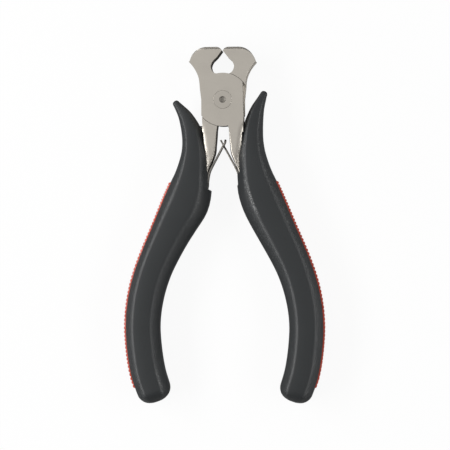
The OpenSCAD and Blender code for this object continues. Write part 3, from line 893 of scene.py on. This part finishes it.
def finish_solid(obj, materials, edge_break, angle, pick=None):
    """Gives a solid of the frame its materials, the first one on faces for which pick returns
    0 and so on, and broken edges."""
    obj.data.materials.clear()
    for material in materials:
        obj.data.materials.append(material)
    for face in obj.data.polygons:
        face.use_smooth = True
        face.material_index = pick(face.center, face.normal) if pick else 0
    weld = obj.modifiers.new("Weld", "WELD")
    weld.merge_threshold = 0.000002
    planes = obj.modifiers.new("Planes", "DECIMATE")
    planes.decimate_type = "DISSOLVE"
    planes.angle_limit = math.radians(0.6)
    bevel = obj.modifiers.new("Edges", "BEVEL")
    bevel.width = edge_break
    bevel.segments = 2
    bevel.limit_method = "ANGLE"
    bevel.angle_limit = math.radians(angle)
    weight = obj.modifiers.new("Flat faces", "WEIGHTED_NORMAL")
    weight.weight = 90


class NIPPERS_OT_head(bpy.types.Operator):
    """Finish the two forgings and the rivets"""
    bl_idname = "nippers.head"
    bl_label = "Head"

    def execute(self, context):
        head = context.scene.nippers_head
        # Flank steel: a darker copy of the ground steel, painted shade on the flanks of the mouth,
        # the lobe and the tangs.
        dark = painted_shade_and_light_steel("Shaded flank steel", tint(head.steel, 0.6), 0.42)
        # Outer flank steel: a lighter copy of the ground steel, painted light on the outer flanks
        # of the head.
        outer = painted_shade_and_light_steel("Lit outer flank steel", tint(head.steel, 1.3), 0.62)
        for name, side, shoulder in (("front_lever", 1, 6.1 * MM), ("rear_lever", -1, 6.6 * MM)):
            steel = ground_steel(name + "_steel", head.steel, head.steel_roughness, 0.2,
                                 (side, shoulder))
            lever = frame["nodes"][name]
            self.level_root(lever)
            finish_solid(lever, (steel, dark, outer), head.edge_break, 35,
                         lambda middle, normal: self.surface(side, middle, normal))
        rivet = ground_steel("Rivet steel", tint(head.steel, 0.96), head.steel_roughness, 1.1)
        # Centre mark: the faces round the middle of the pivot rivet, darkened as painted shade in
        # its dimple.
        mark = painted_shade_and_light_steel("Centre mark", tint(head.steel, 0.36), 0.6)
        for name in ("pivot_rivet", "left_spring_rivet", "right_spring_rivet"):
            finish_solid(frame["nodes"][name], (rivet, mark), RIVET_EDGE, 35,
                         lambda middle, normal: int(
                             name == "pivot_rivet" and (middle - HINGE).xy.length < MARK_RADIUS))
        return {"FINISHED"}

    def surface(self, side, middle, normal):
        """Number of the material of a face of a lever: 0 for the ground front and back, 1 for
        the dark flanks of the mouth, the lobe and the tang with the tang's round inner edge, darker
        as painted shade, 2 for the outer flanks of the head, lighter as painted light."""
        if middle.y < ROOT_END:
            return int(abs(normal.z) < (ROUND_FROM if normal.x * side < 0 else GROUND_FROM))
        if abs(normal.z) > GROUND_FROM:
            return 0
        return 2 if normal.x * math.copysign(1.0, middle.x) > OUTER_FROM else 1

    def level_root(self, lever):
        """Brings the end of the thick root down to the tang, so that no step shows."""
        for face, side in (("Root front", 1), ("Root back", -1)):
            group = lever.vertex_groups.new(name=face)
            group.add([
                vertex.index for vertex in lever.data.vertices
                if abs(vertex.co.y - ROOT_END) < 0.02 * MM
                and (vertex.co.z - HINGE.z) * side > ROOT_FACE], 1.0, "REPLACE")
            level = lever.modifiers.new(face, "DISPLACE")
            level.vertex_group = group.name
            level.direction = "Z"
            level.mid_level = 0.0
            level.strength = -side * ROOT_STEP


# Stage

# Soft lights: name, place, width and length in metres, power in watts
LIGHTS = (
    ("Top light", (-0.10, 0.15, 0.95), 0.9, 0.9, 1.9),
    ("Left light", (-0.55, 0.02, 0.42), 0.22, 0.9, 7.5),
    ("Right light", (0.55, -0.02, 0.42), 0.22, 0.9, 3.4),
    ("Low left light", (-0.5, -0.05, 0.03), 0.05, 0.7, 0.7),
    ("Low right light", (0.5, -0.05, 0.03), 0.05, 0.7, 1.0),
    ("Back light", (-0.1, 0.6, 0.12), 0.9, 0.08, 1.0),
)


class NIPPERS_OT_stage(bpy.types.Operator):
    """Set the floor, the soft lights and the camera"""
    bl_idname = "nippers.stage"
    bl_label = "Stage"

    def execute(self, context):
        stage = context.scene.nippers_stage
        self.floor(stage)
        for light in LIGHTS:
            self.light(*light)
        self.world(context)
        self.camera(context, stage)
        context.scene.view_settings.view_transform = "Standard"
        return {"FINISHED"}

    def floor(self, stage):
        bpy.ops.object.select_all(action="DESELECT")
        bpy.ops.mesh.primitive_plane_add(size=6.0)
        obj = active("floor")
        edit_mode()
        bpy.ops.mesh.select_all(action="SELECT")
        bpy.ops.mesh.subdivide(number_cuts=stage.grid)
        object_mode()
        finish = Finish("Pale floor")
        cloud = finish.noise(finish.place(), 6.0, 2.0)
        obj.data.materials.append(finish.surface(
            Base_Color=finish.mix(cloud, (0.045, 0.045, 0.045, 1.0), (0.05, 0.05, 0.05, 1.0)),
            Roughness=0.9,
            Specular_IOR_Level=0.0,
            Emission_Color=(1.0, 1.0, 1.0, 1.0),
            Emission_Strength=stage.floor_light))
        obj.visible_glossy = False
        obj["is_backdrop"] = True

    def light(self, name, place, width, length, power):
        data = bpy.data.lights.new(name, "AREA")
        data.shape = "RECTANGLE"
        data.size = width
        data.size_y = length
        data.energy = power
        obj = bpy.data.objects.new(name, data)
        bpy.context.scene.collection.objects.link(obj)
        back = Vector(place).normalized()
        side = Vector((0, 1, 0)).cross(back).normalized()
        turn = Matrix((side, back.cross(side), back)).transposed()
        obj.matrix_world = Matrix.Translation(place) @ turn.to_4x4()

    def world(self, context):
        world = bpy.data.worlds.new("Studio")
        world.use_nodes = True
        background = world.node_tree.nodes["Background"]
        background.inputs["Color"].default_value = (1.0, 0.98, 0.96, 1.0)
        background.inputs["Strength"].default_value = 0.08
        context.scene.world = world

    def camera(self, context, stage):
        data = bpy.data.cameras.new("Camera")
        data.lens = stage.lens
        data.sensor_width = 36.0
        data.clip_start = 0.01
        data.dof.use_dof = False
        obj = bpy.data.objects.new("Camera", data)
        context.scene.collection.objects.link(obj)
        eye, aim = Vector(stage.eye), Vector(stage.aim)
        back = (eye - aim).normalized()
        side = Vector((0, 1, 0)).cross(back).normalized()
        turn = Matrix((side, back.cross(side), back)).transposed().to_4x4()
        obj.matrix_world = (Matrix.Translation(eye) @ turn
                            @ Matrix.Rotation(stage.roll, 4, "Z"))
        context.scene.camera = obj


class NIPPERS_PT_panel(bpy.types.Panel):
    bl_idname = "NIPPERS_PT_panel"
    bl_label = "End Cutting Nippers"
    bl_space_type = "VIEW_3D"
    bl_region_type = "UI"
    bl_category = "Nippers"

    def draw(self, context):
        layout = self.layout
        for operator in OPERATORS:
            layout.operator(operator.bl_idname)
        for name in GROUPS:
            box = layout.box()
            group = getattr(context.scene, name)
            for prop in group.bl_rna.properties:
                if prop.identifier not in ("rna_type", "name"):
                    box.prop(group, prop.identifier)


GROUPS = {
    "nippers_head": HeadSettings,
    "nippers_springs": SpringSettings,
    "nippers_grips": GripSettings,
    "nippers_stage": StageSettings,
}
OPERATORS = (NIPPERS_OT_stage, NIPPERS_OT_head, NIPPERS_OT_springs, NIPPERS_OT_grip_cores,
             NIPPERS_OT_grip_covers)


def register():
    for name, group in GROUPS.items():
        bpy.utils.register_class(group)
        setattr(bpy.types.Scene, name, PointerProperty(type=group))
    for operator in OPERATORS:
        bpy.utils.register_class(operator)
    bpy.utils.register_class(NIPPERS_PT_panel)


def unregister():
    bpy.utils.unregister_class(NIPPERS_PT_panel)
    for operator in reversed(OPERATORS):
        bpy.utils.unregister_class(operator)
    for name, group in reversed(GROUPS.items()):
        delattr(bpy.types.Scene, name)
        bpy.utils.unregister_class(group)


def main():
    register()
    bpy.ops.nippers.stage()
    bpy.ops.nippers.head()
    bpy.ops.nippers.springs()
    bpy.ops.nippers.grip_cores()
    bpy.ops.nippers.grip_covers()
    boxes = {"cad": CAD_BOX, "visual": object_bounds()}
    {key: [list(corner) for corner in box] for key, box in boxes.items()}


if __name__ == "__main__":
    main()
